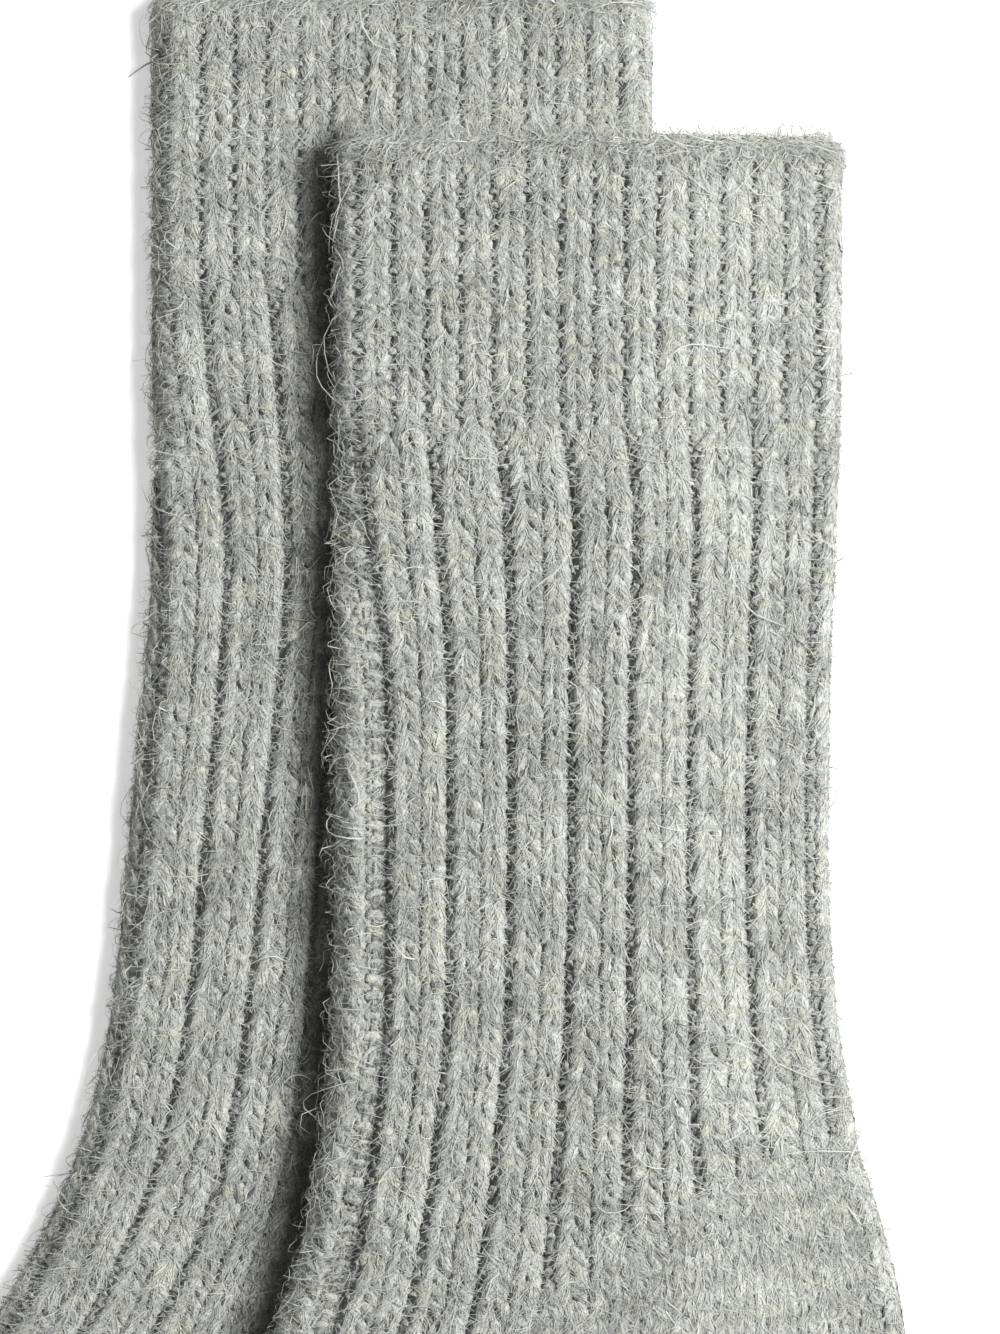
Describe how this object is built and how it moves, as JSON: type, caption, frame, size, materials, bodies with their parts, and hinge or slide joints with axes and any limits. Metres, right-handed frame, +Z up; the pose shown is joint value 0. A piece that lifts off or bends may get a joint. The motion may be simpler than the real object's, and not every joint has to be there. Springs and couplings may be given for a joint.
{
  "type": "pair of wool socks",
  "caption": "Thick ribbed wool socks with fine-rib cuffs and plain heels, laid flat in profile, partly over each other.",
  "frame": {"origin": "middle of the pair's box, on the surface that the socks lie on", "axes": "+Z up from the surface, +Y along the legs towards the cuffs, -X the side that the toes point to"},
  "size_m": [0.2232, 0.3874, 0.0149],
  "materials": {
    "wool_melange": "light grey melange wool knit, fuzzy and matt"
  },
  "bodies": {
    "root": {"sock_back": "wool_melange", "sock_front": "wool_melange"}
  },
  "joints": []
}
